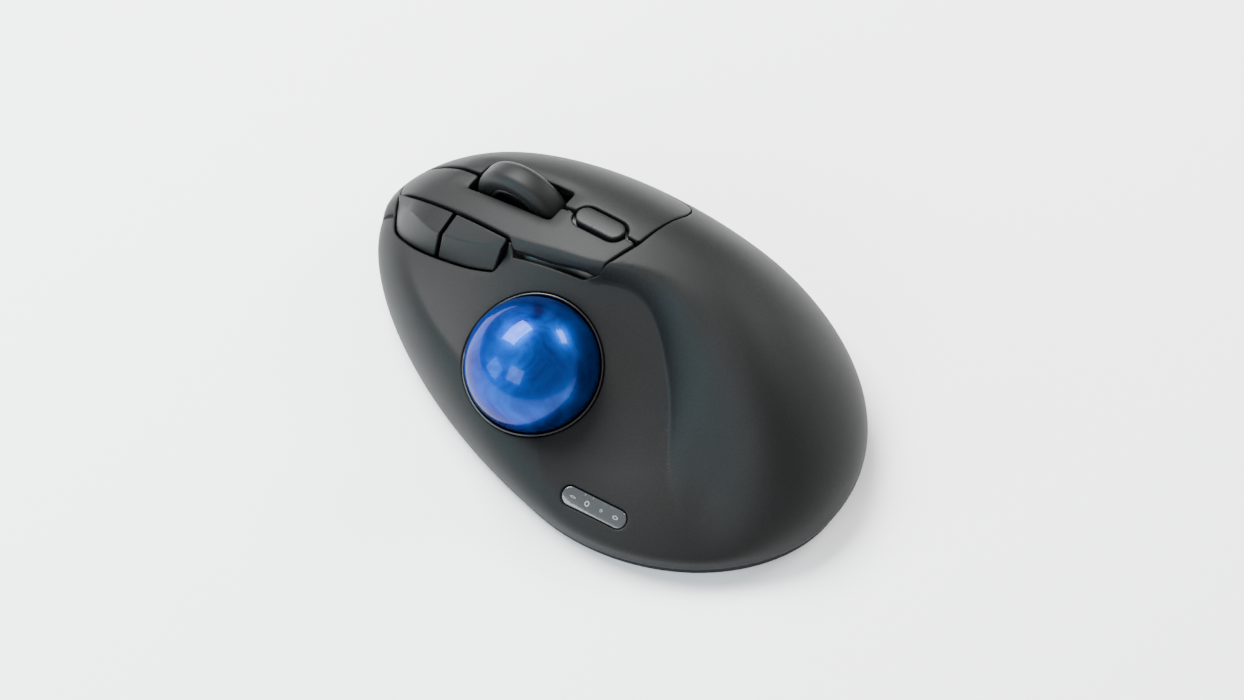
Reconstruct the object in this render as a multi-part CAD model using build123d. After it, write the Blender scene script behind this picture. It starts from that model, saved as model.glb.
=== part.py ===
from build123d import *
import math
import os

# Wireless thumb trackball mouse, right-handed. Millimetres, +Z up, +Y towards the buttons,
# +X towards the user's right. The origin is the middle of the footprint, on the desk.

# ---------------------------------------------------------------- driving dimensions
body_length = 147.0
body_width = 90.0
wide_y = -20.0            # where the plan is widest
rim_z = 7.0               # height of the widest line around the body
foot_height = 0.8         # glide pads lift the base off the desk
base_thickness = 2.2
wall = 2.2                # moulded skin
seam = 0.5                # gap between neighbouring skins
ball_radius = 17.0
ball_centre = (-22.5, 4.7, 25.8)
socket_axis = (-0.411, -0.135, 0.902)
wheel_radius = 14.0
wheel_width = 7.6
wheel_y, wheel_z = 33.7, 32.2
lane_x, lane_slope = 11.0, -0.06       # the seam between the buttons: x = lane_x + lane_slope * y
button_drop = 0.8         # travel of the small push buttons
click_angle = 0.6         # degrees that a main button turns about its rear edge
button_floor = 10.6       # the main buttons stop above the shell's front lip
board_z, board_thickness = 8.0, 1.6
switch_size = (5.8, 12.8, 6.5)
cell_radius, cell_length = 7.1, 50.0
cell_x, cell_y, cell_z = 11.2, -40.0, 10.8

base_bottom = foot_height
base_top = base_bottom + base_thickness
board_top = board_z + board_thickness
switch_top = board_top + switch_size[2]


# ---------------------------------------------------------------- the body's surface
def curve_through(stations):
    """Natural cubic through (station, value) pairs, held level beyond its two ends."""
    at = [s for s, _ in stations]
    level = [v for _, v in stations]
    last = len(at) - 1
    bend = [0.0] * (last + 1)
    work = [0.0] * (last + 1)
    for i in range(1, last):
        left, span = at[i] - at[i - 1], at[i + 1] - at[i - 1]
        pivot = left / span * bend[i - 1] + 2.0
        jump = (level[i + 1] - level[i]) / (at[i + 1] - at[i]) - (level[i] - level[i - 1]) / left
        bend[i] = (left / span - 1.0) / pivot
        work[i] = (6.0 * jump / span - left / span * work[i - 1]) / pivot
    for i in range(last - 1, -1, -1):
        bend[i] = bend[i] * bend[i + 1] + work[i]

    def value(s):
        s = min(max(s, at[0]), at[last])
        i = max(j for j in range(last) if at[j] <= s)
        h = at[i + 1] - at[i]
        a, b = (at[i + 1] - s) / h, (s - at[i]) / h
        curved = ((a**3 - a) * bend[i] + (b**3 - b) * bend[i + 1]) * h * h / 6.0
        return a * level[i] + b * level[i + 1] + curved

    return value


# Profiles along the length: the raised deck's crest, the slanted thumb face left of it,
# and the step between them, a low cliff beside the buttons that opens into the palm's flank.
crest_height = curve_through([(-73.5, 25), (-50, 37), (-25, 45.5), (-5, 47.3), (15, 45.3),
                              (35, 40.5), (55, 33), (73.5, 22)])
crest_place = curve_through([(-73.5, 4), (-50, 7), (-25, 11), (-5, 14), (15, 16), (35, 16),
                             (55, 15), (73.5, 13)])
thumb_height = curve_through([(-73.5, 12), (-45, 16.5), (-20, 20.5), (5, 25.6), (25, 26.5),
                              (45, 22.5), (60, 18), (73.5, 13)])
thumb_rise = curve_through([(-73.5, 0.2), (-45, 0.3), (-20, 0.42), (5, 0.46), (20, 0.46),
                            (40, 0.3), (60, 0.12), (73.5, 0.1)])
thumb_bend = curve_through([(-73.5, 0.004), (-30, 0.012), (5, 0.018), (20, 0.018), (40, 0.004),
                            (73.5, 0)])
step_foot = curve_through([(-73.5, -46), (-50, -30), (-35, -17), (-29, -9.5), (-22, -3),
                           (-16, 1), (-9, 3), (-2, 1.5), (5, -1.5), (13, -3.2), (26, -6),
                           (46, -6.4), (73.5, -7)])
step_top = curve_through([(-73.5, 6), (-50, 12), (-31, 15), (-20, 13.5), (-9, 8.5), (-2, 4.5),
                          (5, 1.3), (13, -0.5), (26, -3.5), (46, -3.8), (73.5, -4)])
step_hardness = curve_through([(-73.5, 0), (-50, 0), (-34, 0.5), (-20, 1), (10, 1), (73.5, 1)])
right_fall, left_fall = 0.008, 0.006
plan_powers = {"right_front": 2.0, "left_front": 1.75, "right_rear": 2.1, "left_rear": 1.88}
# width of the rolled-over edge, by direction in degrees from the ball
edge_roll = [(-180, 10), (-135, 14), (-90, 30), (-45, 34), (0, 30), (45, 22), (75, 16),
             (100, 12), (135, 9), (180, 10)]
roll_power = 2.2


def roll_width(degrees):
    for (a, low), (b, high) in zip(edge_roll, edge_roll[1:]):
        if a <= degrees <= b:
            return low + (high - low) * (degrees - a) / (b - a)
    return edge_roll[0][1]


def plan_value(x, y, inset):
    """Under 1 inside the plan outline, moved in by inset."""
    side = "right" if x > 0 else "left"
    if y > wide_y:
        power = plan_powers[side + "_front"]
        run = body_length / 2 - wide_y - inset
    else:
        power = plan_powers[side + "_rear"]
        run = body_length / 2 + wide_y - inset
    return abs(x / (body_width / 2 - inset)) ** power + abs((y - wide_y) / run) ** power


def reach(angle, inset):
    """Distance from the ball's axis to the plan outline in one direction."""
    near, far = 0.0, body_length
    for _ in range(36):
        middle = (near + far) / 2
        x = ball_centre[0] + middle * math.cos(angle)
        y = ball_centre[1] + middle * math.sin(angle)
        if plan_value(x, y, inset) < 1:
            near = middle
        else:
            far = middle
    return near


def top_height(x, y, inset=0.0):
    """Height of the upper skin before its edge rolls over."""
    out = x - ball_centre[0]
    thumb = thumb_height(y) + thumb_rise(y) * out + thumb_bend(y) * out * out / 2
    fall = right_fall if x > crest_place(y) else left_fall
    deck = crest_height(y) - fall * (x - crest_place(y)) ** 2
    foot, top = step_foot(y) + inset, step_top(y) + inset
    across = min(max((x - foot) / (top - foot), 0.0), 1.0)
    soft = across**3 * (across * (6 * across - 15) + 10)
    hard = 1 - (1 - across) ** 2.2
    blend = soft + (hard - soft) * min(max(step_hardness(y), 0.0), 1.0)
    return thumb + (deck - thumb) * blend - 1.05 * inset


def skin_height(x, y, inset=0.0, far=None):
    """Height of the upper skin, rolled over towards the rim."""
    angle = math.atan2(y - ball_centre[1], x - ball_centre[0])
    far = far or reach(angle, inset)
    inside = far - math.hypot(x - ball_centre[0], y - ball_centre[1])
    rolled = min(max(1 - inside / roll_width(math.degrees(angle)), 0.0), 1.0)
    keep = (1 - rolled**roll_power) ** (1 / roll_power)
    return rim_z + (top_height(x, y, inset) - rim_z) * keep


def skin_point(u, v, inset):
    """One point of the skin. Beyond a radius of 1 the skin hangs down as the side wall."""
    radius, angle = math.hypot(u, v), math.atan2(v, u)
    far = reach(angle, inset)
    if radius <= 1:
        share = math.sin(math.pi / 2 * radius)
        x = ball_centre[0] + far * share * math.cos(angle)
        y = ball_centre[1] + far * share * math.sin(angle)
        return Vector(x, y, skin_height(x, y, inset, far))
    below = radius - 1
    tuck = 1 - 2.0 * min(below, 0.25) ** 2
    x = ball_centre[0] + far * tuck * math.cos(angle)
    y = ball_centre[1] + far * tuck * math.sin(angle)
    return Vector(x, y, rim_z - 40 * below)


def body_solid(inset, floor):
    """The filled body, moved in by inset all round and cut level at floor."""
    count, half = 66, 1.22
    steps = [-half + 2 * half * i / count for i in range(count + 1)]
    grid = [[skin_point(u, v, inset) for v in steps] for u in steps]
    skin = Face.make_surface_from_array_of_points(grid, tol=0.02, min_deg=3, max_deg=5)
    block = Pos(0, 0, floor) * Box(110, 170, 60, align=(Align.CENTER, Align.CENTER, Align.MIN))
    pieces = block.split(skin, keep=Keep.ALL)
    return min(pieces.solids(), key=lambda piece: piece.volume)


# ---------------------------------------------------------------- small helpers
def lane(y):
    """X of the seam between the two main buttons."""
    return lane_x + lane_slope * y


lane_turn = math.degrees(math.atan(-lane_slope))       # the lane leans this much to the left


def on_lane(x, y, z):
    """A frame on the wheel's lane: its local X runs across the lane, its Y along it."""
    return Location((lane(y), y, z), (0, 0, lane_turn)) * Pos(x, 0, 0)


def post(x, y, low, high, radius):
    """Upright round post."""
    low, high = min(low, high), max(low, high)
    return Pos(x, y, (low + high) / 2) * Cylinder(radius, high - low)


def lowest_skin(x, y, radius):
    """Lowest height of the upper skin over a round boss."""
    turns = [math.pi * k / 4 for k in range(8)]
    return min(skin_height(x + radius * math.cos(a), y + radius * math.sin(a)) for a in turns)


def bar(low, high):
    """Box between two opposite corners."""
    size = [b - a for a, b in zip(low, high)]
    middle = [(a + b) / 2 for a, b in zip(low, high)]
    return Pos(*middle) * Box(*size)


def prism(face, low=-5.0, high=70.0):
    """Upright prism on a plan face drawn at height zero."""
    return Pos(0, 0, low) * extrude(face, amount=high - low)


def plan_outline(inset):
    """Plan face of the whole body, moved in by inset."""
    count = 72
    points = []
    for i in range(count):
        angle = 2 * math.pi * i / count
        far = reach(angle, 0.0) - inset
        points.append((ball_centre[0] + far * math.cos(angle),
                       ball_centre[1] + far * math.sin(angle)))
    return make_face(Spline(*points, periodic=True))


def save(name, piece):
    piece.label = name
    export_step(piece, f"parts/{name}.step")
    print(name, len(piece.solids()), round(piece.volume))


# ---------------------------------------------------------------- plan of the buttons
def button_zone():
    """Plan of both main buttons together, seam to seam."""
    rear_left, junction, rear_right = (0.0, 1.9), (11.0, -1.5), (27.5, -3.3)
    edges = [
        Line(rear_left, junction),
        Line(junction, rear_right),
        Spline(rear_right, (32.6, -1.2), (34.4, 4), (33.8, 20), (29.8, 40), (21, 60), (11, 69.2),
               (3, 70.4), (-4.2, 66.2)),
        Line((-4.2, 66.2), (-4.2, 27.6)),
        Line((-4.2, 27.6), (-5.6, 25.6)),
        Spline((-5.6, 25.6), (-3.3, 14.5), (-1.7, 8), rear_left),
    ]
    return make_face(edges)


def grown(face, amount):
    """Plan face moved out by amount, with its curved edges drawn again as plain splines."""
    edges = []
    for edge in offset(face, amount=amount).faces()[0].outer_wire().edges():
        if edge.geom_type in (GeomType.LINE, GeomType.CIRCLE):
            edges.append(edge)
        else:
            count = max(4, round(edge.length / 6))
            edges.append(Spline(*[edge @ (k / count) for k in range(count + 1)]))
    return make_face(edges)


def lane_side(side):
    """Plan of everything on one side of the lane: -1 left, +1 right."""
    front, rear = 90.0, -30.0
    far = side * 80.0
    return make_face(Polyline((lane(rear), rear), (lane(front), front), (far, front),
                              (far, rear), close=True))


def wheel_slot(grow=0.0):
    """Plan of the opening for the scroll wheel."""
    front, rear = 48.4, 22.2
    centre = (front + rear) / 2
    slot = RectangleRounded(9.4 + 2 * grow, front - rear + 2 * grow, 1.4 + grow)
    return Location((lane(centre), centre, 0), (0, 0, lane_turn)) * slot


dpi_y, dpi_length, dpi_width = 10.2, 14.2, 5.4


def dpi_pill(grow=0.0):
    """Plan of the small oblong button behind the wheel."""
    pill = SlotOverall(dpi_length + 2 * grow, dpi_width + 2 * grow)
    return Location((lane(dpi_y), dpi_y, 0), (0, 0, 90 + lane_turn)) * pill


# side buttons: four long edges of one crescent, by place along the length
side_low_x = curve_through([(27.6, -10.3), (33.5, -11.8), (40, -12.6), (47, -13), (53, -12.9),
                            (59, -11.8), (63.5, -9.3), (66.2, -6)])
side_top_x = curve_through([(27.6, -6.3), (33.5, -8.2), (40, -9.8), (47, -10.6), (53, -9.7),
                            (59, -7.6), (63.5, -5.8), (66.2, -5.2)])
side_top_z = curve_through([(27.6, 37), (33.5, 35), (40, 33), (47, 31), (53, 28.8), (59, 25.3),
                            (63.5, 21.8), (66.2, 19.6)])
side_inner_x = -4.75
side_rear, side_front, side_split, side_gap = 27.8, 66.0, 45.6, 1.1


def side_zone(grow):
    """Plan of both side buttons, grown by a gap."""
    count = 9
    rear, front = side_rear - grow, side_front + grow
    edge = []
    for i in range(count + 1):
        y = rear + (front - rear) * i / count
        edge.append((side_low_x(y) - grow, y))
    inner = -4.0
    return make_face([Spline(*edge), Line(edge[-1], (inner, front)), Line((inner, front),
                     (inner, rear)), Line((inner, rear), edge[0])])


def side_section(y):
    """Cross-section of a side button: foot, leaning face, chamfered top."""
    low_x, top_x, top_z = side_low_x(y), side_top_x(y), side_top_z(y)
    inner_z = top_height(-4.0, y) - 0.5
    sunk = 1.1
    inner_foot = min(step_foot(y), side_inner_x) - 0.3
    corners = [(side_inner_x, y, skin_height(inner_foot, y) - sunk),
               (low_x, y, skin_height(low_x, y) - sunk), (top_x, y, min(top_z, inner_z - 0.2)),
               (side_inner_x, y, inner_z)]
    return Wire.make_polygon([Vector(*c) for c in corners])


def side_button(rear, front, switch_at):
    count = 5
    places = [rear + (front - rear) * i / count for i in range(count + 1)]
    cap = Solid.make_loft([side_section(y) for y in places], ruled=True)
    x, y = switch_at
    stem = post(x, y, switch_top + 0.5 + button_drop + 0.1, skin_height(x, y), 1.4)
    return cap + stem


# ---------------------------------------------------------------- switches and boards
switch_places = {
    "left_switch": (-1.4, 46.0, 0),
    "right_switch": (19.2, 44.0, 0),
    "middle_switch": (9.4, 52.0, 90),
    "forward_switch": (-11.2, 50.6, 0),
    "back_switch": (-11.2, 35.4, 0),
}


def micro_switch(x, y, turn):
    """Snap-action switch with its small actuator on top."""
    wide, long, tall = switch_size
    case = Pos(0, 0, tall / 2) * Box(wide, long, tall)
    case = chamfer(case.edges().filter_by(Axis.Z), 0.4)
    actuator = Pos(0, 0, tall + 0.25) * Box(1.6, 2.6, 0.5)
    return Location((x, y, board_top), (0, 0, turn)) * (case + actuator)


def main_board():
    front = bar((-16, 27, board_z), (22.4, 57, board_top))
    rear = bar((6, -8, board_z), (28.4, 27.5, board_top))
    board = front + rear
    for x, y in guide_places():
        board -= post(x, y, 0, 20, 1.9)
    for x, y in board_screw_places:
        board -= post(x, y, 0, 20, 1.2)
    return board


def guide_places():
    """The two posts that the wheel carrier slides on."""
    return [(lane(wheel_y) - 9.4, wheel_y), (lane(wheel_y) + 9.4, wheel_y)]


board_screw_places = [(-6.2, 54.4), (25.0, -5.5), (25.0, 24.5)]
shell_screw_places = [(-26.0, -44.0), (33.5, -41.5), (-20.5, 41.5)]
frame_screw_places = [(26.2, 37.0), (31.0, -3.3), (-5.2, 23.4)]
boss_low = 5.05


def screw_tip(x, y):
    """How high a base screw reaches under the skin at its place."""
    return min(12.5, lowest_skin(x, y, 3.0) - 4.0)


eject_radius = 7.0


def screw(x, y, face, seat, tip, head_radius, shank):
    """Cross-head screw: outer face, underside of the head and tip by height."""
    cross = bar((x - 1.4, y - 0.3, face - 0.6), (x + 1.4, y + 0.3, face + 0.6))
    cross += bar((x - 0.3, y - 1.4, face - 0.6), (x + 0.3, y + 1.4, face + 0.6))
    return post(x, y, face, seat, head_radius) - cross + post(x, y, face, tip, shank) - cross


# ---------------------------------------------------------------- ball and its seat
socket = Plane(origin=ball_centre, z_dir=socket_axis)


def in_socket(radius, low, high):
    """Cylinder on the socket's axis, between two heights from the ball's centre."""
    return socket.location * (Pos(0, 0, (low + high) / 2) * Cylinder(radius, high - low))


def around_ball(direction, distance):
    unit = Vector(*direction).normalized()
    return Vector(*ball_centre) + unit * distance


bearing_radius = 1.25
sensor_view = (0.85, 0.0, -0.53)


def bearing_directions():
    """Three rests under the ball, evenly round the socket's axis."""
    directions = []
    for k in range(3):
        turn = math.radians(90 + 120 * k)
        slope = math.radians(52)
        local = Vector(math.sin(slope) * math.cos(turn), math.sin(slope) * math.sin(turn),
                       -math.cos(slope))
        directions.append(socket.from_local_coords(local) - Vector(*ball_centre))
    return directions


cup_legs = [(-33.0, 12.0), (-33.0, -4.0), (-12.0, 5.0)]


def ball_cup():
    """Bowl under the ball, on three legs, with a window for the sensor and an eject hole."""
    outer_radius, inner_radius, top = 19.8, 18.2, -5.2
    bowl = Pos(*ball_centre) * Sphere(outer_radius)
    bowl -= in_socket(outer_radius + 5, top, 40)
    for x, y in cup_legs:
        bowl += post(x, y, base_top, 12, 2.4)
    bowl -= Pos(*ball_centre) * Sphere(inner_radius)
    bowl -= post(ball_centre[0], ball_centre[1], 0, 20, eject_radius)
    for direction in bearing_directions():
        bowl -= Pos(*around_ball(direction, ball_radius + bearing_radius + 0.05)) * Sphere(
            bearing_radius + 0.04)
    view = Plane(origin=around_ball(sensor_view, outer_radius), z_dir=sensor_view)
    bowl -= view.location * Cylinder(3.2, 8)
    return bowl


def on_sensor(distance, size, radius=0.0):
    """Block square to the sensor's line of sight, its near face at distance from the ball."""
    view = Plane(origin=around_ball(sensor_view, distance), x_dir=(0, 1, 0), z_dir=sensor_view)
    return view.location * (Pos(0, 0, size[2] / 2) * Box(*size))


# ---------------------------------------------------------------- scroll wheel
def across_lane(x_middle, radius, thickness):
    """Disc standing in the wheel's plane, x_middle off the lane."""
    disc = Rot(0, 90, 0) * Cylinder(radius, thickness)
    return on_lane(0, wheel_y, wheel_z) * (Pos(x_middle, 0, 0) * disc)


def scroll_tyre():
    ring = Cylinder(wheel_radius, wheel_width) - Cylinder(9.2, wheel_width + 1)
    outside = ring.edges().filter_by(GeomType.CIRCLE).sort_by(SortBy.RADIUS)[-2:]
    ring = fillet(outside, 2.6)
    return on_lane(0, wheel_y, wheel_z) * (Rot(0, 90, 0) * ring)


def scroll_hub():
    hub = Cylinder(9.15, wheel_width - 0.8)
    for end in (-1, 1):
        hub -= Pos(0, 0, end * wheel_width / 2) * (Cylinder(7.6, 3.4) - Cylinder(2.6, 3.4))
    hub -= Cylinder(1.25, 20)
    return on_lane(0, wheel_y, wheel_z) * (Rot(0, 90, 0) * hub)


def wheel_carrier():
    """Cradle that holds the axle and slides down on two posts when the wheel is pressed."""
    inner, outer = 4.6, 6.2
    low, top = 17.5, wheel_z + 1.9
    frame = None
    for side in (-1, 1):
        cheek = Pos(side * (inner + outer) / 2, 1, -4.2) * Box(outer - inner, 16, 12.4)
        cheek += Pos(side * (inner + outer) / 2, 11.4, -8) * Box(outer - inner, 9, 10)
        cheek += Pos(side * 9.2, 0, -9.0) * Box(6.0, 6, 2.4)
        frame = cheek if frame is None else frame + cheek
    frame += Pos(0, 15.9, -10.7) * Box(2 * outer, 1.6, 7)
    placed = on_lane(0, wheel_y, wheel_z) * frame
    placed += on_lane(0, 51.4, 0) * (Pos(0, 0, low + 1.2) * Box(6, 5.4, 2.4))
    placed -= across_lane(0, 1.3, 30)
    for x, y in guide_places():
        placed -= post(x, y, 0, 60, 1.62)
    return placed & bar((-30, 0, low), (40, 60, top))


# ---------------------------------------------------------------- base and battery door
door_left, door_right, door_front = 3.0, 28.6, -12.0
foot_places = {
    "front_left_foot": (-13.0, 51.0),
    "front_right_foot": (16.0, 51.0),
    "left_foot": (-36.5, -14.0),
    "right_foot": (36.0, -22.0),
    "rear_foot": (-14.0, -58.0),
}
switch_slot = (32.6, 4.0)
pairing_place = (32.6, 18.0)
slide_travel = 3.5
label_place, label_size = (-12.0, -32.0), (22.0, 14.0)


def foot_pad(x, y, grow, low, high):
    pad = extrude(SlotOverall(13 + 2 * grow, 6 + 2 * grow), amount=high - low)
    return Location((x, y, low), (0, 0, 0 if abs(x) < 30 else 90)) * pad


def door_opening(grow, low, high):
    rear = -90.0
    return bar((door_left - grow, rear, low), (door_right + grow, door_front + grow, high))


def base_cover(plate):
    """Floor of the mouse: bosses, board posts, battery bay and the door's grooves."""
    cover = plate - door_opening(0.0, -1, 20)
    cover -= door_opening(1.2, 1.5, 2.5)
    for x, y in shell_screw_places + frame_screw_places:
        cover += post(x, y, base_top - 0.1, boss_low - 0.05, 3.6)
    for x, y in board_screw_places:
        cover += post(x, y, base_top - 0.1, board_z - 0.02, 2.2) - post(x, y, 4, 20, 0.95)
    for x, y in guide_places():
        cover += post(x, y, base_top - 0.1, 25.8, 1.5)
    tall, thin = 12.0, 1.2
    cover += bar((door_left - thin, -66, base_top - 0.1), (door_left, door_front + thin, tall))
    cover += bar((door_right, -50, base_top - 0.1), (door_right + thin, door_front + thin, tall))
    cover += bar((door_left - thin, door_front, base_top - 0.1),
                 (door_right + thin, door_front + thin, tall))
    for x, y in shell_screw_places + frame_screw_places:
        cover -= post(x, y, 0, 3.4, 2.7)
        cover -= post(x, y, 0, 10, 1.3)
    cover -= post(ball_centre[0], ball_centre[1], 0, 10, eject_radius)
    x, y = switch_slot
    cover -= bar((x - 1.8, y - 2.3, 0), (x + 1.8, y + slide_travel + 2.3, 10))
    cover -= post(*pairing_place, 0, 10, 2.5)
    for x, y in foot_places.values():
        cover -= foot_pad(x, y, 0.15, 0, base_bottom + 0.5)
    x, y = label_place
    cover -= Pos(x, y, base_bottom) * Box(label_size[0] + 0.3, label_size[1] + 0.3, 0.5)
    return cover


def battery_door(plate):
    """Sliding lid under the cell and the stowed receiver, with a tongue down each side."""
    side_gap = 0.2
    lid = plate & door_opening(-side_gap, base_bottom, base_top - 0.12)
    tongue = plate & door_opening(0.9, 1.75, 2.25)
    tongue &= bar((-60, -90, 0), (60, door_front - side_gap - 0.6, 5))
    lid += tongue
    for k in range(4):
        y = door_front - 8 - 2.2 * k
        lid -= Pos((door_left + door_right) / 2, y, base_bottom) * Box(10, 0.9, 0.6)
    return lid


# ---------------------------------------------------------------- upper skins
led_centre, led_normal, led_along = (-38.2, -28.6, 13.4), (-0.41, -0.17, 0.9), (0.22, -0.97, -0.08)
led_length, led_width = 17.7, 4.5


def led_pill(grow=0.0):
    plane = Plane(origin=led_centre, x_dir=led_along, z_dir=led_normal)
    pill = extrude(SlotOverall(led_length + 2 * grow, led_width + 2 * grow), amount=12)
    return plane.location * Pos(0, 0, -6) * pill


def top_shell(skin):
    """The one-piece upper body: palm, thumb face and rim."""
    shell = skin - prism(grown(button_zone(), seam / 2), 9)
    shell -= prism(side_zone(0.55), 12)
    shell -= in_socket(18.15, -14, 40)
    shell -= led_pill(0.12)
    for x, y in shell_screw_places:
        boss = post(x, y, boss_low, lowest_skin(x, y, 3.0) - 1.0, 3.0)
        shell += boss - post(x, y, 0, screw_tip(x, y) + 0.4, 1.12)
    return shell


def button_plate(skin, side, plunger_at):
    """One main button: a piece of the upper skin with a post over its switch."""
    face = grown(button_zone() & lane_side(side), -seam / 2)
    plate = skin & prism(face, button_floor)
    plate -= prism(wheel_slot())
    plate -= prism(dpi_pill(0.55))
    x, y = plunger_at
    drop = math.radians(click_angle) * y
    return plate + post(x, y, switch_top + 0.5 + drop + 0.12, skin_height(x, y) - 1.0, 1.5)


def button_frame(layer):
    """Black inner deck under the buttons, with three screw posts."""
    zone = grown(button_zone(), 2.4)
    frame = layer & prism(zone, 12)
    frame += layer & prism(side_zone(1.8), 12)
    for x, y in frame_screw_places:
        boss = post(x, y, boss_low, lowest_skin(x, y, 2.8) - 6.6, 2.8)
        frame += boss - post(x, y, 0, screw_tip(x, y) + 0.4, 1.12)
    centre = lane(wheel_y)
    frame -= Location((centre, wheel_y + 2, 0), (0, 0, lane_turn)) * Box(13.4, 29.0, 200)
    for name in ("left_switch", "right_switch"):
        x, y, _ = switch_places[name]
        frame -= post(x, y, 0, 70, 2.3)
    for name in ("forward_switch", "back_switch"):
        x, y, _ = switch_places[name]
        frame -= Pos(x, y, 0) * Box(switch_size[0] + 0.8, switch_size[1] + 0.8, 80)
    frame -= on_lane(8.4, wheel_y, 0) * Box(5.4, 11, 200)
    frame -= post(lane(dpi_y), dpi_y, 0, 70, 2.4)
    return frame


def dpi_button():
    top = top_height(lane(dpi_y), dpi_y)
    slope = (top_height(lane(dpi_y), dpi_y + 5) - top_height(lane(dpi_y), dpi_y - 5)) / 10
    cap = extrude(SlotOverall(dpi_length, dpi_width), amount=3.2)
    cap = fillet(cap.faces().sort_by(Axis.Z)[-1].edges(), 0.7)
    tilt = math.degrees(math.atan(slope))
    cap = Pos(lane(dpi_y), dpi_y, top - 2.3) * Rot(tilt, 0, lane_turn) * Rot(0, 0, 90) * cap
    low = deck_board_top + 4.3 + 0.4 + button_drop + 0.1
    return cap + post(lane(dpi_y), dpi_y, low, top - 1.0, 1.5)


deck_board_z = 33.4
deck_board_top = deck_board_z + 1.2


def tact_switch(x, y, z, up=1):
    """Square dome switch with a round actuator, facing up or down."""
    case = Pos(0, 0, up * 1.9) * Box(6, 6, 3.8)
    return Pos(x, y, z) * (case + Pos(0, 0, up * 4.1) * Cylinder(1.7, 0.7))


# ---------------------------------------------------------------- build and save
os.makedirs("parts", exist_ok=True)

shell_floor = base_top + 0.2
outer = body_solid(0.0, shell_floor)
inner = body_solid(wall, 0.0)
skin = outer - inner
under = body_solid(wall + 1.4, 0.0)
deep = body_solid(wall + 2.9, -1.0)
layer = under - deep

save("top_shell", top_shell(skin))
save("left_button", button_plate(skin, -1, switch_places["left_switch"][:2]))
save("right_button", button_plate(skin, 1, switch_places["right_switch"][:2]))
save("button_frame", button_frame(layer))
save("forward_button", side_button(side_split + side_gap / 2, side_front,
                                   switch_places["forward_switch"][:2]))
save("back_button", side_button(side_rear, side_split - side_gap / 2,
                                switch_places["back_switch"][:2]))
save("dpi_button", dpi_button())
save("led_window", skin & led_pill())

plate = Pos(0, 0, base_bottom) * extrude(plan_outline(1.6), amount=base_thickness)
save("base_cover", base_cover(plate))
save("battery_door", battery_door(plate))
for name, (x, y) in foot_places.items():
    save(name, foot_pad(x, y, 0.0, 0.0, base_bottom + 0.5))
save("base_screws", Compound([screw(x, y, 1.7, 3.38, screw_tip(x, y), 2.4, 1.1)
                              for x, y in shell_screw_places + frame_screw_places]))
save("board_screws", Compound([screw(x, y, board_top + 1.3, board_top + 0.02, 4.5, 1.9, 0.9)
                               for x, y in board_screw_places]))
x, y = label_place
save("rating_label", Pos(x, y, base_bottom + 0.12) * Box(label_size[0], label_size[1], 0.18))

save("trackball", Pos(*ball_centre) * Sphere(ball_radius))
ring = in_socket(18.0, -4.6, 12) - in_socket(17.4, -20, 40)
save("ball_ring", ring & outer)
save("ball_cup", ball_cup())
save("bearing_balls", Compound([
    Pos(*around_ball(d, ball_radius + bearing_radius + 0.05)) * Sphere(bearing_radius)
    for d in bearing_directions()]))
save("sensor_lens", on_sensor(20.0, (7, 6, 2.0)))
save("sensor_chip", on_sensor(22.1, (9, 9, 1.8)))
save("sensor_board", on_sensor(24.0, (15, 14, 1.2)))

save("scroll_tyre", scroll_tyre())
save("scroll_hub", scroll_hub())
save("scroll_axle", across_lane(0.6, 1.2, 18.4))
save("wheel_carrier", wheel_carrier())
encoder = across_lane(0, 1.35, 60)
encoder_case = on_lane(0, wheel_y, wheel_z) * (Pos(7.9, 0, -2.0) * Box(3.2, 8.4, 7.2))
save("wheel_encoder", encoder_case - encoder)

save("main_board", main_board())
save("radio_chip", bar((14, 4, board_top + 0.02), (21, 11, board_top + 1.0)))
for name, (x, y, turn) in switch_places.items():
    save(name, micro_switch(x, y, turn))
save("deck_board", bar((3.5, 1.5, deck_board_z), (17.5, 17.0, deck_board_top)))
save("dpi_switch", tact_switch(lane(dpi_y), dpi_y, deck_board_top + 0.02))

cell = Rot(90, 0, 0) * (Cylinder(cell_radius, cell_length - 1.2)
                        + Pos(0, 0, -cell_length / 2 + 0.3) * Cylinder(2.7, 1.8))
save("battery_cell", Pos(cell_x, cell_y, cell_z) * cell)
front_contact = bar((cell_x - 5, -13.2, 4), (cell_x + 5, -12.1, 16))
coil = Pos(cell_x, -66.2, cell_z) * Rot(90, 0, 0) * Cone(4.0, 2.6, 2.4)
save("battery_contacts", Compound([front_contact, coil]))
save("usb_receiver", bar((20.2, -46, 3.3), (26.8, -32.5, 17)) + bar((21.2, -32.5, 4.2),
                                                                    (25.8, -21, 16.1)))

x, y = switch_slot
slider = bar((x - 1.6, y - 2, 1.0), (x + 1.6, y + 2, 3.3))
slider += bar((x - 2.6, y - 3.2, base_top + 0.15), (x + 2.6, y + 3.2, 4.2))
save("power_slider", slider + bar((x - 0.7, y - 0.8, 4.1), (x + 0.7, y + 0.8, 5.6)))
save("power_switch", bar((x - 3, y - 2.2, 5.9), (x + 3, y + 2.2 + slide_travel, 8.2)))
x, y = pairing_place
button = post(x, y, 1.0, 3.3, 2.3) + post(x, y, base_top + 0.15, 4.0, 3.1)
save("pairing_button", button)
save("pairing_switch", bar((x - 3, y - 3, 5.4), (x + 3, y + 3, 8.2)) + post(x, y, 4.75, 5.5, 1.4))
save("switch_board", bar((29.2, 1.5, 8.25), (36.0, 23.5, 9.45)))

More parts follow.
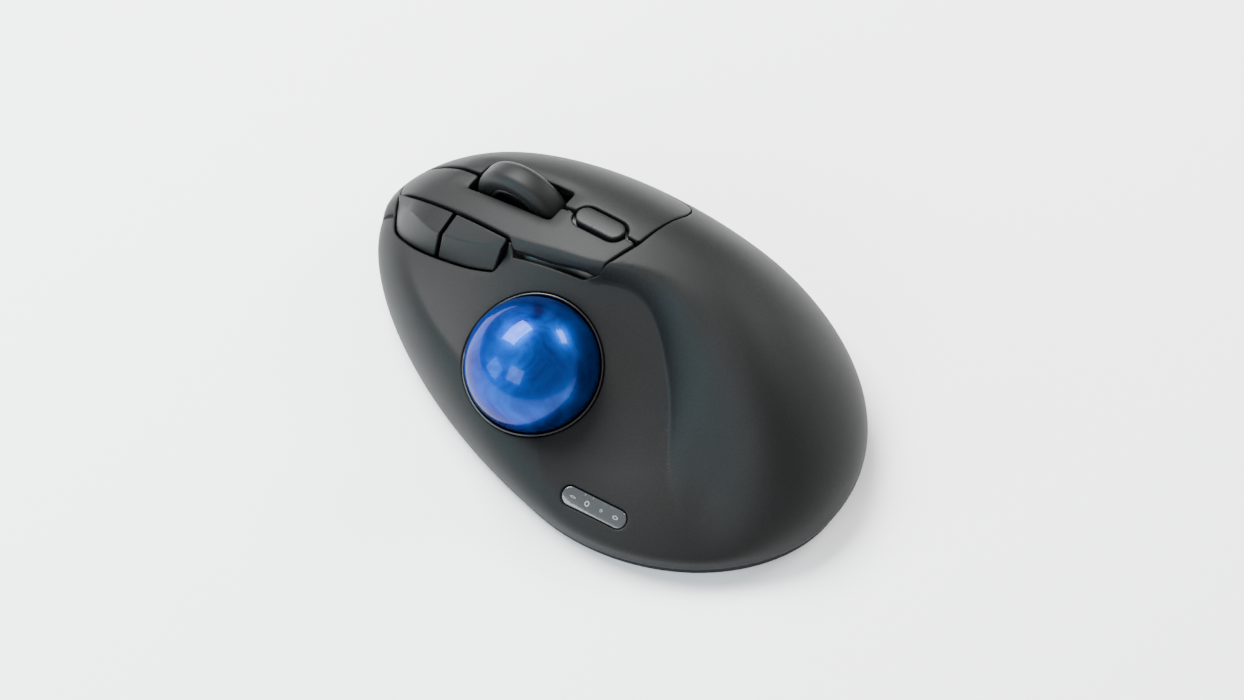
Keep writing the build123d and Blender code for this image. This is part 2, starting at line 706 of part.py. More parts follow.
save("indicator_board", bar((-38.9, -37.0, 4.4), (-33.9, -20.4, 5.4)))
led_steps = [-4.8, -1.6, 1.6, 4.8]
leds, guides = [], []
for step in led_steps:
    y = led_centre[1] + led_along[1] * step
    x = led_centre[0] + led_along[0] * step + 1.2
    leds.append(bar((x - 0.8, y - 0.6, 5.42), (x + 0.8, y + 0.6, 6.1)))
    guides.append(post(x, y, 6.2, skin_height(x, y) - 3.2, 1.1))
save("indicator_leds", Compound(leds))
save("light_guides", Compound(guides))
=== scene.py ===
import math
import bmesh
import bpy
import numpy as np
from mathutils import Matrix, Vector
from mathutils.geometry import delaunay_2d_cdt


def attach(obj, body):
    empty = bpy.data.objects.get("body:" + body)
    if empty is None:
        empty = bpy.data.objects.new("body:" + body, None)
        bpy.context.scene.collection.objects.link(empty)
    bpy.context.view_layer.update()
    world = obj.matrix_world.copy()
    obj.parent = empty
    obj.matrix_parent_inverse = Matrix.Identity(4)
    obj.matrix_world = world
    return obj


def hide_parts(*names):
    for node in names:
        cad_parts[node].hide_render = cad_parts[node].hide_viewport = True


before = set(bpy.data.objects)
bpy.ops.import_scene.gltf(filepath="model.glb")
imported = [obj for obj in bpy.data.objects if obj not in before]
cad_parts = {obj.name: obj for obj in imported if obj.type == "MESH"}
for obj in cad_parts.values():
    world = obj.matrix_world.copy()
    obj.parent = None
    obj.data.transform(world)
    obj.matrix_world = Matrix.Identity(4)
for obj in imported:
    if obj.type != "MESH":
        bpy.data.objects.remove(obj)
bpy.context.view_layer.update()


# ---------------------------------------------------------------- palm and thumb shell
# The palm rest, thumb face and rim are one moulding of ABS with a soft-touch coat. It is open
# for the buttons, the ball and the small window, and each opening has a fine rounded edge.
# Lengths of the skin's shape are millimetres, and placed() turns them into metres.
ball_x, ball_y, ball_z, ball_radius = -22.5, 4.7, 25.8, 17.0
socket_axis = Vector((-0.411, -0.135, 0.902)).normalized()
body_width, body_length, wide_y, rim_z = 90.0, 147.0, -20.0, 7.0
rim_drop = 40.0                 # how far the side wall hangs for one step of the skin's radius
shell_foot = 3.16               # the shell ends just above the base
edge_round, seam = 0.45, 0.2    # rounded edge of every skin, and half the gap between two


def placed(point):
    return Vector(point) / 1000


def curve_through(stations):
    """Natural cubic through (station, value) pairs, held level beyond its two ends."""
    at = [s for s, _ in stations]
    level = [v for _, v in stations]
    last = len(at) - 1
    bend = [0.0] * (last + 1)
    work = [0.0] * (last + 1)
    for i in range(1, last):
        left, span = at[i] - at[i - 1], at[i + 1] - at[i - 1]
        pivot = left / span * bend[i - 1] + 2.0
        jump = (level[i + 1] - level[i]) / (at[i + 1] - at[i]) - (level[i] - level[i - 1]) / left
        bend[i] = (left / span - 1.0) / pivot
        work[i] = (6.0 * jump / span - left / span * work[i - 1]) / pivot
    for i in range(last - 1, -1, -1):
        bend[i] = bend[i] * bend[i + 1] + work[i]

    def value(s):
        s = min(max(s, at[0]), at[last])
        i = max(j for j in range(last) if at[j] <= s)
        h = at[i + 1] - at[i]
        a, b = (at[i + 1] - s) / h, (s - at[i]) / h
        curved = ((a**3 - a) * bend[i] + (b**3 - b) * bend[i + 1]) * h * h / 6.0
        return a * level[i] + b * level[i + 1] + curved

    return value


# The deck's crest, the slanted thumb face left of it and the step between them, by place
# along the length.
crest_height = curve_through([(-73.5, 25), (-50, 37), (-25, 45.5), (-5, 47.3), (15, 45.3),
                              (35, 40.5), (55, 33), (73.5, 22)])
crest_place = curve_through([(-73.5, 4), (-50, 7), (-25, 11), (-5, 14), (15, 16), (35, 16),
                             (55, 15), (73.5, 13)])
thumb_height = curve_through([(-73.5, 12), (-45, 16.5), (-20, 20.5), (5, 25.6), (25, 26.5),
                              (45, 22.5), (60, 18), (73.5, 13)])
thumb_rise = curve_through([(-73.5, 0.2), (-45, 0.3), (-20, 0.42), (5, 0.46), (20, 0.46),
                            (40, 0.3), (60, 0.12), (73.5, 0.1)])
thumb_bend = curve_through([(-73.5, 0.004), (-30, 0.012), (5, 0.018), (20, 0.018), (40, 0.004),
                            (73.5, 0)])
step_foot = curve_through([(-73.5, -46), (-50, -30), (-35, -17), (-29, -9.5), (-22, -3),
                           (-16, 1), (-9, 3), (-2, 1.5), (5, -1.5), (13, -3.2), (26, -6),
                           (46, -6.4), (73.5, -7)])
step_top = curve_through([(-73.5, 6), (-50, 12), (-31, 15), (-20, 13.5), (-9, 8.5), (-2, 4.5),
                          (5, 1.3), (13, -0.5), (26, -3.5), (46, -3.8), (73.5, -4)])
step_hardness = curve_through([(-73.5, 0), (-50, 0), (-34, 0.5), (-20, 1), (10, 1), (73.5, 1)])


def roll_width(degrees):
    """Width of the rolled-over edge, by direction from the ball."""
    rolls = [(-180, 10), (-135, 14), (-90, 30), (-45, 34), (0, 30), (45, 22), (75, 16),
             (100, 12), (135, 9), (180, 10)]
    for (a, low), (b, high) in zip(rolls, rolls[1:]):
        if a <= degrees <= b:
            return low + (high - low) * (degrees - a) / (b - a)
    return rolls[0][1]


def plan_value(x, y):
    """Under 1 inside the plan outline of the body."""
    if y > wide_y:
        power = 2.0 if x > 0 else 1.75
        run = body_length / 2 - wide_y
    else:
        power = 2.1 if x > 0 else 1.88
        run = body_length / 2 + wide_y
    return abs(x / (body_width / 2)) ** power + abs((y - wide_y) / run) ** power


def reach(angle):
    """Distance from the ball's axis to the plan outline in one direction."""
    near, far = 0.0, body_length
    for _ in range(36):
        middle = (near + far) / 2
        if plan_value(ball_x + middle * math.cos(angle), ball_y + middle * math.sin(angle)) < 1:
            near = middle
        else:
            far = middle
    return near


def top_height(x, y):
    """Height of the skin before its edge rolls over."""
    out = x - ball_x
    thumb = thumb_height(y) + thumb_rise(y) * out + thumb_bend(y) * out * out / 2
    fall = 0.008 if x > crest_place(y) else 0.006
    deck = crest_height(y) - fall * (x - crest_place(y)) ** 2
    foot, top = step_foot(y), step_top(y)
    across = min(max((x - foot) / (top - foot), 0.0), 1.0)
    soft = across**3 * (across * (6 * across - 15) + 10)
    hard = 1 - (1 - across) ** 2.2
    blend = soft + (hard - soft) * min(max(step_hardness(y), 0.0), 1.0)
    return thumb + (deck - thumb) * blend


def skin_at(u, v):
    """One point of the skin. Beyond a radius of 1 it hangs down as the side wall."""
    radius, angle = math.hypot(u, v), math.atan2(v, u)
    far = reach(angle)
    inward = min(radius, 1.0)
    share = math.sin(math.pi / 2 * inward) * (1 - 2.0 * min(max(radius - 1, 0), 0.25) ** 2)
    x, y = ball_x + far * share * math.cos(angle), ball_y + far * share * math.sin(angle)
    if radius > 1:
        return Vector((x, y, rim_z - rim_drop * (radius - 1)))
    inside = far * (1 - share)
    rolled = min(max(1 - inside / roll_width(math.degrees(angle)), 0.0), 1.0)
    keep = (1 - rolled**2.2) ** (1 / 2.2)
    return Vector((x, y, rim_z + (top_height(x, y) - rim_z) * keep))


def on_skin(x, y):
    """The skin's own coordinates of a place in plan."""
    angle = math.atan2(y - ball_y, x - ball_x)
    share = min(math.hypot(x - ball_x, y - ball_y) / reach(angle), 1.0)
    radius = 2 / math.pi * math.asin(share)
    return radius * math.cos(angle), radius * math.sin(angle)


def skin_over(x, y):
    return skin_at(*on_skin(x, y))


def through(*points, step=0.5):
    """Points along a smooth curve through the given ones."""
    lengths = [0.0]
    for a, b in zip(points, points[1:]):
        lengths.append(lengths[-1] + math.dist(a, b))
    xs = curve_through([(s, p[0]) for s, p in zip(lengths, points)])
    ys = curve_through([(s, p[1]) for s, p in zip(lengths, points)])
    count = max(2, round(lengths[-1] / step))
    return [(xs(lengths[-1] * k / count), ys(lengths[-1] * k / count)) for k in range(count + 1)]


def closed_even(points, softness, step=0.45):
    """A closed outline with even spacing and softened corners."""
    points = [Vector(p[:2]) for p in points]
    points.append(points[0])
    lengths = [0.0]
    for a, b in zip(points, points[1:]):
        lengths.append(lengths[-1] + (b - a).length)
    count = round(lengths[-1] / step)
    even, i = [], 0
    for k in range(count):
        s = lengths[-1] * k / count
        while lengths[i + 1] < s:
            i += 1
        span = max(lengths[i + 1] - lengths[i], 1e-9)
        even.append(points[i].lerp(points[i + 1], (s - lengths[i]) / span))
    for _ in range(softness):
        even = [even[k] / 2 + (even[k - 1] + even[(k + 1) % count]) / 4 for k in range(count)]
    return even


def moved_in(outline, amount):
    """A closed outline, material on its left, moved into the material."""
    count = len(outline)
    moved = []
    for k in range(count):
        along = outline[(k + 2) % count] - outline[k - 2]
        moved.append(outline[k] + Vector((-along.y, along.x)).normalized() * amount)
    return moved


def moved_on_skin(outline, amount):
    """moved_in for an outline on the skin: less in plan where the skin is steep, so that the
    distance along the skin stays even."""
    count, probe = len(outline), 0.15
    moved = []
    for k in range(count):
        along = outline[(k + 2) % count] - outline[k - 2]
        inward = Vector((-along.y, along.x)).normalized() * math.copysign(1, amount)
        span = (skin_over(*(outline[k] + inward * probe)) - skin_over(*outline[k])).length
        moved.append(outline[k] + inward * abs(amount) * probe / max(span, probe))
    return moved


def area_of(outline):
    return sum(a.x * b.y - b.x * a.y for a, b in zip(outline, outline[1:] + outline[:1])) / 2


def facing(outline, turn):
    """The outline, turning anticlockwise for 1 and clockwise for -1."""
    return outline if area_of(outline) * turn > 0 else outline[::-1]


def inside(points, outline):
    """Which of the points lie inside the closed outline."""
    ring = np.array([tuple(p) for p in outline])
    following = np.roll(ring, -1, axis=0)
    hit = np.zeros(len(points), dtype=bool)
    for (ax, ay), (bx, by) in zip(ring, following):
        if ay == by:
            continue
        crosses = (ay > points[:, 1]) != (by > points[:, 1])
        hit ^= crosses & (points[:, 0] < (bx - ax) * (points[:, 1] - ay) / (by - ay) + ax)
    return hit


def pill_outline(centre, along, length, width):
    """A stadium's outline in plan."""
    along = Vector(along).normalized()
    side = Vector((-along.y, along.x))
    points = []
    for end in (1, -1):
        for k in range(13):
            turn = math.pi * (k / 12 - 0.5)
            middle = Vector(centre) + along * end * (length - width) / 2
            points.append(middle + (along * math.cos(turn) + side * math.sin(turn)) * end * width / 2)
    return points


def add_mesh(name, vertices, faces, body, material, replaced=()):
    """One smooth piece that rides a body of the frame."""
    mesh = bpy.data.meshes.new(name)
    mesh.from_pydata([placed(v) for v in vertices], [], faces)
    mesh.validate()
    shape = bmesh.new()
    shape.from_mesh(mesh)
    bmesh.ops.remove_doubles(shape, verts=shape.verts, dist=1e-7)
    shape.to_mesh(mesh)
    shape.free()
    mesh.shade_smooth()
    piece = bpy.data.objects.new(name, mesh)
    bpy.context.collection.objects.link(piece)
    mesh.materials.append(material)
    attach(piece, body)
    if replaced:
        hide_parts(*replaced)
    return piece


def flat_patch(loops, edge, depth, spacing, at, lines=(), plain=(), square=()):
    """skin_patch for loops already in u, v. The loops named in plain get no rounded edge, and
    those in square get walls square to the skin, where the others' walls are upright."""
    points, edges = [], []
    for loop in loops:
        first, count = len(points), len(loop)
        points += loop
        edges += [(first + i, first + (i + 1) % count) for i in range(count)]
    borders = np.array([tuple(p) for p in points])
    for row in lines:
        kept = [Vector(p) for p in row]
        flags = inside(np.array([tuple(p) for p in kept]), loops[0])
        for hole in loops[1:]:
            flags &= ~inside(np.array([tuple(p) for p in kept]), hole)
        for p, flag in zip(kept, flags):
            if flag and np.min(np.hypot(*(borders - np.array(tuple(p))).T)) > 0.3 * spacing:
                points.append(p)
    fixed = np.array([tuple(p) for p in points])
    low, high = borders.min(axis=0), borders.max(axis=0)
    grid = []
    rows = int((high[1] - low[1]) / (0.87 * spacing)) + 1
    for j in range(rows):
        offset = spacing / 2 if j % 2 else 0.0
        for i in range(int((high[0] - low[0]) / spacing) + 1):
            grid.append((low[0] + offset + i * spacing, low[1] + j * 0.87 * spacing))
    grid = np.array(grid)
    keep = inside(grid, loops[0])
    for hole in loops[1:]:
        keep &= ~inside(grid, hole)
    grid = grid[keep]
    clear = np.ones(len(grid), dtype=bool)
    for start in range(0, len(grid), 500):
        part = grid[start:start + 500]
        gaps = np.hypot(part[:, None, 0] - fixed[None, :, 0], part[:, None, 1] - fixed[None, :, 1])
        clear[start:start + 500] = gaps.min(axis=1) > 0.62 * spacing
    points += [Vector(p) for p in grid[clear]]
    flat, _, faces, *_ = delaunay_2d_cdt(points, edges, [], 0, 1e-7)
    middles = np.array([tuple(sum((flat[i] for i in f), Vector((0, 0))) / len(f)) for f in faces])
    keep = inside(middles, loops[0])
    for hole in loops[1:]:
        keep &= ~inside(middles, hole)
    vertices = [at(*p) for p in flat]
    faces = [tuple(f) for f, k in zip(faces, keep) if k]
    step = spacing * 0.15
    for number, loop in enumerate(loops):
        if number in plain:
            continue
        count = len(loop)
        shell = [at(*p) for p in loop]
        rings = [shell]
        across, normals = [], []
        for i, p in enumerate(loop):
            normal = (at(p.x + step, p.y) - at(p.x - step, p.y)).cross(
                at(p.x, p.y + step) - at(p.x, p.y - step)).normalized()
            along = shell[(i + 1) % count] - shell[i - 1]
            normals.append(normal)
            across.append(along.cross(normal).normalized())
        for k in range(1, 6):
            turn = math.pi / 2 * k / 5
            rings.append([s + a * edge * math.sin(turn) - n * edge * (1 - math.cos(turn))
                          for s, a, n in zip(shell, across, normals)])
        down = normals if number in square else [Vector((0, 0, 1))] * count
        rings.append([p - n * depth for p, n in zip(rings[-1], down)])
        first = len(vertices)
        for ring in rings:
            vertices += ring
        for r in range(len(rings) - 1):
            for i in range(count):
                a, b = first + r * count + i, first + r * count + (i + 1) % count
                faces.append((a, a + count, b + count, b))
    return vertices, faces


def button_zone():
    """Plan of both main buttons together: right side, front, left side and rear."""
    right = through((27.5, -3.3), (32.6, -1.2), (34.4, 4), (33.8, 20), (29.8, 40), (21, 60),
                    (11, 69.2), (3, 70.4), (-4.2, 66.2))
    left = through((-5.6, 25.6), (-3.3, 14.5), (-1.7, 8), (0.0, 1.9))
    return right, left


# the lower edge of the side buttons
side_low_x = curve_through([(27.6, -10.3), (33.5, -11.8), (40, -12.6), (47, -13), (53, -12.9),
                            (59, -11.8), (63.5, -9.3), (66.2, -6)])


def shell_front_opening():
    """The opening for the main buttons and, left of them, the two side buttons."""
    right, left = button_zone()
    side = [(side_low_x(66.55 - 0.5 * k) - 0.55, 66.55 - 0.5 * k) for k in range(79)]
    outline = right[:-1] + [(-4.3, 66.5)] + side + [(-4.4, 27.3)] + left + [(11.0, -1.5)]
    outline = moved_on_skin(facing(closed_even(outline, 5), 1), -seam)
    # the seam below the left button's bevelled edge is a wider shadow gap
    shadow_gap = Vector((0.7, 0))
    return [p - shadow_gap * min(max((p.y - 2.5) / 3, 0), 1) if p.x < 0.5 and p.y < 25.5
            else p for p in outline]


def ring_outline(radius):
    """Where a round opening about the socket's axis meets the skin, in plan."""
    centre = Vector((ball_x, ball_y, ball_z))
    outline = []
    for k in range(180):
        turn = 2 * math.pi * k / 180
        near, far = 0.0, 30.0
        for _ in range(30):
            middle = (near + far) / 2
            x, y = ball_x + middle * math.cos(turn), ball_y + middle * math.sin(turn)
            arm = skin_over(x, y) - centre
            if (arm - socket_axis * arm.dot(socket_axis)).length < radius:
                near = middle
            else:
                far = middle
        outline.append(Vector((ball_x + near * math.cos(turn), ball_y + near * math.sin(turn))))
    return outline


window_place, window_along, window_size = (-38.2, -28.6), (0.22, -0.97), (17.5, 4.25)


def led_outline(grow):
    return pill_outline(window_place, window_along, *(size + 2 * grow for size in window_size))


def paint(hexadecimal):
    parts = [int(hexadecimal[i:i + 2], 16) / 255 for i in (0, 2, 4)]
    return (*[c / 12.92 if c <= 0.04045 else ((c + 0.055) / 1.055) ** 2.4 for c in parts], 1.0)


def add_node(material, kind, links=(), **settings):
    """A shader node with its settings, and links from (node, output) to its inputs."""
    node = material.node_tree.nodes.new(kind)
    for name, value in settings.items():
        if hasattr(node, name):
            setattr(node, name, value)
        else:
            node.inputs[name.replace("_", " ")].default_value = value
    for source, output, target in links:
        material.node_tree.links.new(source.outputs[output], node.inputs[target])
    return node


def new_material(name):
    material = bpy.data.materials.new(name)
    material.use_nodes = True
    return material, material.node_tree.nodes["Principled BSDF"]


def grained_plastic(name, dark, light, grain_mm, roughness, bump, speck=0.0):
    """Moulded plastic: a fine spark-eroded grain, slight handling wear, and pale specks."""
    material, surface = new_material(name)
    links = material.node_tree.links
    surface.inputs["Specular IOR Level"].default_value = 0.18
    place = add_node(material, "ShaderNodeTexCoord")
    grain = add_node(material, "ShaderNodeTexNoise", [(place, "Object", "Vector")],
                     Scale=1000 / grain_mm, Detail=3.0, Roughness=0.6)
    wear = add_node(material, "ShaderNodeTexNoise", [(place, "Object", "Vector")],
                    Scale=1000 / 28, Detail=4.0, Roughness=0.55)
    tone = add_node(material, "ShaderNodeValToRGB", [(grain, "Fac", "Fac")])
    tone.color_ramp.elements[0].position, tone.color_ramp.elements[1].position = 0.36, 0.68
    tone.color_ramp.elements[0].color = paint(dark)
    tone.color_ramp.elements[1].color = paint(light)
    if speck:
        dots = add_node(material, "ShaderNodeTexVoronoi", [(place, "Object", "Vector")],
                        Scale=1000 / 0.55)
        bright = add_node(material, "ShaderNodeValToRGB", [(dots, "Distance", "Fac")])
        bright.color_ramp.elements[0].color = (speck, speck, speck, 1)
        bright.color_ramp.elements[1].color = (0, 0, 0, 1)
        bright.color_ramp.elements[1].position = 0.16
        mixed = add_node(material, "ShaderNodeMix", data_type="RGBA", blend_type="ADD")
        mixed.inputs["Factor"].default_value = 1.0
        links.new(tone.outputs["Color"], mixed.inputs[6])
        links.new(bright.outputs["Color"], mixed.inputs[7])
        links.new(mixed.outputs[2], surface.inputs["Base Color"])
    else:
        links.new(tone.outputs["Color"], surface.inputs["Base Color"])
    sheen = add_node(material, "ShaderNodeMapRange", [(wear, "Fac", "Value")])
    sheen.inputs["To Min"].default_value = roughness - 0.05
    sheen.inputs["To Max"].default_value = roughness + 0.06
    links.new(sheen.outputs["Result"], surface.inputs["Roughness"])
    relief = add_node(material, "ShaderNodeBump", [(grain, "Fac", "Height")], Strength=bump,
                      Distance=grain_mm / 4000)
    links.new(relief.outputs["Normal"], surface.inputs["Normal"])
    return material


# A dull charcoal with a fine grain and scattered paler specks.
soft_touch = grained_plastic("graphite soft-touch coat", "090a0a", "101111", 0.35, 0.56, 0.25, 0.01)


def top_shell():
    rim_count, rim_radius = 620, 1.094
    rim = [Vector((rim_radius * math.cos(a), rim_radius * math.sin(a)))
           for a in (2 * math.pi * k / rim_count for k in range(rim_count))]
    ball_hole = ball_radius + 1.15
    openings = [shell_front_opening(), closed_even(ring_outline(ball_hole), 0),
                closed_even(led_outline(seam), 1, 0.35)]
    loops = [rim]
    for outline in openings:
        loop = moved_on_skin(facing(outline, -1), edge_round)
        loops.append([Vector(on_skin(*p)) for p in loop])
    # rows of points round the rolled edge and along the crease keep both crisp
    lines = []
    for radius in (0.94, 0.97, 0.988, 1.0, 1.02, 1.05):
        lines.append([(radius * math.cos(a), radius * math.sin(a))
                      for a in (2 * math.pi * k / 560 for k in range(560))])
    for off in (-0.9, -0.4, 0.0, 0.4, 0.9, 1.6, 2.6):
        lines.append([on_skin(step_foot(y) + off, y) for y in (-62 + 0.6 * k for k in range(110))])
    for off in (-1.2, -0.6, -0.3, 0.0, 0.3, 0.6, 1.1, 1.7, 2.3, 2.9, 3.5):
        lines.append([on_skin(step_foot(y) + off, y) for y in (65.5 + 0.3 * k for k in range(24))])
    vertices, faces = flat_patch(loops, edge_round, 2.0, 0.0135, skin_at, lines, (0,), (2, 3))
    first, count = len(vertices), len(rim)
    # the shell's foot turns in and up, so that no light comes in above the base
    for inward, z in ((0.0, 3.24), (0.25, shell_foot), (2.2, shell_foot), (2.4, 9.0)):
        for p in rim:
            spot = skin_at(*p)
            ahead = Vector((ball_x - spot.x, ball_y - spot.y, 0)).normalized()
            vertices.append(Vector((spot.x, spot.y, z)) + ahead * inward)
    for r in range(3):
        for i in range(count):
            a, b = first + r * count + i, first + r * count + (i + 1) % count
            faces.append((a, a + count, b + count, b))
    add_mesh("palm_and_thumb_shell", vertices, faces, "housing", soft_touch,
             ["top_shell"])


top_shell()


# ---------------------------------------------------------------- main buttons
# Two coated ABS plates that flex at the rear. They meet on the lane, and leave a slot for the
# scroll wheel and an oblong one for the small button behind it.
slot_front, slot_rear, slot_half = 48.4, 22.2, 4.7
key_y, key_length, key_width = 10.2, 14.2, 5.4      # the small button


def lane(y):
    """X of the seam between the two main buttons."""
    return 11.0 - 0.06 * y


def skin_patch(outlines, edge, depth, spacing, at, to_flat, lines=()):
    """A moulded skin inside the first outline and outside the others, with rounded edges of
    radius edge and walls that go depth below them. at(u, v) is the surface, and to_flat turns
    a place in plan into its u, v. lines are extra rows of points that the surface follows."""
    loops = []
    for k, outline in enumerate(outlines):
        turn = 1 if k == 0 else -1
        loop = (moved_on_skin if to_flat is on_skin else moved_in)(facing(outline, turn), edge)
        loops.append([Vector(to_flat(*p)) for p in loop])
    return flat_patch(loops, edge, depth, spacing, at, lines)


def lane_edge(side):
    """The inner edge of one button from front to rear, round the wheel and small button."""
    def beside(y, out):
        return (lane(y) + side * out, y)
    near = 0.25
    edge = [beside(73, near), beside(slot_front, near), beside(slot_front, slot_half)]
    edge += [beside(slot_front - 0.5 * k, slot_half) for k in range(1, 52)]
    edge += [beside(slot_rear, slot_half), beside(slot_rear, near), beside(18.6, near)]
    half, radius = (key_length + 1.1) / 2, (key_width + 1.1) / 2
    for end in (1, -1):
        for k in range(13):
            turn = math.pi / 2 * k / 12
            ahead, out = (math.cos(turn), math.sin(turn))[::end]
            edge.append(beside(key_y + end * (half - radius + radius * ahead),
                               0.02 + radius * out))
    return edge + [beside(1.6, near), beside(-1.2, near)]


def dished(at, half_width, depth):
    """The surface, falling smoothly towards the wheel's slot."""
    def surface(u, v):
        point = at(u, v)
        along = min(max((point.y - 18.5) / 6, 0), 1) * min(max((54.5 - point.y) / 6, 0), 1)
        near = max(1 - (abs(point.x - lane(point.y)) - slot_half) / half_width, 0.0)
        return point - Vector((0, 0, depth * min(near, 1.0) ** 2 * along))
    return surface


button_coat = grained_plastic("graphite coat on the buttons", "0c0d0d", "131414", 0.35, 0.54, 0.25,
                              0.012)


def main_button(name, side, node):
    right, left = button_zone()
    inner = lane_edge(side)
    if side > 0:
        outer = [p for p in right if p[0] > lane(p[1])]
        outline = [(11.1, -1.5)] + outer + inner
    else:
        front = [p for p in right if p[0] < lane(p[1])]
        outline = front + [(-4.2, 27.6)] + left + inner[::-1]
    outline = moved_on_skin(facing(closed_even(outline, 5, 0.4), 1), 0.25)
    crease = [[on_skin(step_top(y) + off, y) for y in (2 + 0.6 * k for k in range(108))]
              for off in (-1.6, -0.8, 0.0, 0.8)]
    slot_rows = [[on_skin(lane(y) + side * off, y) for y in (18 + 0.6 * k for k in range(62))]
                 for off in (5.9, 6.6, 7.4, 8.2)]
    vertices, faces = skin_patch([outline], edge_round, 1.3, 0.0125,
                                 dished(skin_at, 3.6, 0.9), on_skin, crease + slot_rows)
    add_mesh(name, vertices, faces, "left_key" if side < 0 else "right_key", button_coat,
             [node])


main_button("left_main_button", -1, "left_button")
main_button("right_main_button", 1, "right_button")


# ---------------------------------------------------------------- side buttons
# Two slim keys under the left button's edge: a leaning face, a chamfered top and a shadow gap
# below, cut from one crescent with a gap between them. The coat is a little smoother.
key_inner_x = -4.75
side_top_x = curve_through([(27.6, -7.0), (33.5, -8.6), (40, -10.0), (47, -10.6), (53, -9.7),
                            (59, -7.6), (63.5, -5.8), (66.2, -5.2)])
side_top_z = curve_through([(27.6, 38), (33.5, 35.9), (40, 33.4), (47, 31), (53, 28.8), (59, 25.3),
                            (63.5, 21.8), (66.2, 19.6)])
side_coat = grained_plastic("side button coat", "0c0d0d", "131414", 0.3, 0.46, 0.15)


def side_button(name, rear, front, body, node):
    count = 40
    vertices, faces = [], []
    for i in range(count + 1):
        y = rear + (front - rear) * i / count
        low_x, top_x = side_low_x(y), side_top_x(y)
        inner_z = top_height(-4.0, y) - 0.5
        foot = min(step_foot(y), key_inner_x) - 0.3
        low_z = skin_over(low_x, y).z
        vertices += [(key_inner_x, y, skin_over(foot, y).z - 1.1), (low_x, y, low_z - 1.1),
                     (top_x, y, min(side_top_z(y), inner_z - 0.2)), (key_inner_x, y, inner_z)]
    for i in range(count):
        for k in range(4):
            a, b = 4 * i + k, 4 * i + (k + 1) % 4
            faces.append((a, a + 4, b + 4, b))
    faces += [(0, 1, 2, 3), tuple(4 * count + k for k in (3, 2, 1, 0))]
    piece = add_mesh(name, vertices, faces, body, side_coat, [node])
    shape = bmesh.new()
    shape.from_mesh(piece.data)
    bmesh.ops.recalc_face_normals(shape, faces=shape.faces)
    sharp = [e for e in shape.edges if len(e.link_faces) == 2
             and e.calc_face_angle(0) > math.radians(12)]
    bmesh.ops.bevel(shape, geom=sharp, offset=0.00045, segments=4, profile=0.5, affect="EDGES")
    shape.to_mesh(piece.data)
    shape.free()
    piece.data.shade_smooth()
    weights = piece.modifiers.new("even shading", "WEIGHTED_NORMAL")
    weights.keep_sharp = True


side_button("forward_side_button", 46.15, 66.0, "forward_key", "forward_button")
side_button("back_side_button", 27.8, 45.05, "back_key", "back_button")


# ---------------------------------------------------------------- small button behind the wheel
# An oblong coated key that stands a little proud of the seam between the main buttons.


def dpi_top(x, y):
    slope = (top_height(lane(key_y), key_y + 5) - top_height(lane(key_y), key_y - 5)) / 10
    across = (x - lane(y)) / (key_width / 2)
    along = (y - key_y) / (key_length / 2)
    rise = 0.6 - 0.2 * across * across - 0.15 * along * along
    return Vector((x, y, top_height(lane(key_y), key_y) + slope * (y - key_y) + rise))


def dpi_key():
    outline = pill_outline((lane(key_y), key_y), (-0.06, 1.0), key_length, key_width)
    outline = closed_even(outline, 1, 0.3)
    vertices, faces = skin_patch([outline], 0.5, 2.4, 0.6, dpi_top, lambda x, y: (x, y))
    add_mesh("speed_key", vertices, faces, "dpi_key", side_coat,
             ["dpi_button"])


dpi_key()


# ---------------------------------------------------------------- indicator window
# A smoky polycarbonate lens flush with the shell's rear left flank, over four small lights,
# with a plain printed oval over each of them.


def plain_surface(name, colour, roughness, metallic=0.0, coat=0.0):
    """Smooth moulded or machined material with a faint unevenness in its shine."""
    material, surface = new_material(name)
    surface.inputs["Base Color"].default_value = paint(colour)
    surface.inputs["Metallic"].default_value = metallic
    surface.inputs["Coat Weight"].default_value = coat
    surface.inputs["Coat Roughness"].default_value = 0.06
    place = add_node(material, "ShaderNodeTexCoord")
    # a slight cloudiness in the shine, about 3 mm across
    noise = add_node(material, "ShaderNodeTexNoise", [(place, "Object", "Vector")],
                     Scale=1000 / 3, Detail=2.0)
    spread = add_node(material, "ShaderNodeMapRange", [(noise, "Fac", "Value")])
    spread.inputs["To Min"].default_value = max(roughness - 0.06, 0.02)
    spread.inputs["To Max"].default_value = roughness + 0.06
    material.node_tree.links.new(spread.outputs["Result"], surface.inputs["Roughness"])
    return material


def window_material():
    """Moulded polycarbonate tinted grey: glossy, and a little light sinks into it."""
    material, surface = new_material("smoky polycarbonate")
    surface.inputs["Base Color"].default_value = paint("34373a")
    surface.inputs["Roughness"].default_value = 0.22
    surface.inputs["Transmission Weight"].default_value = 0.25
    surface.inputs["Coat Weight"].default_value = 0.6
    return material


def led_top(x, y):
    return skin_over(x, y) - Vector((0, 0, 0.12))


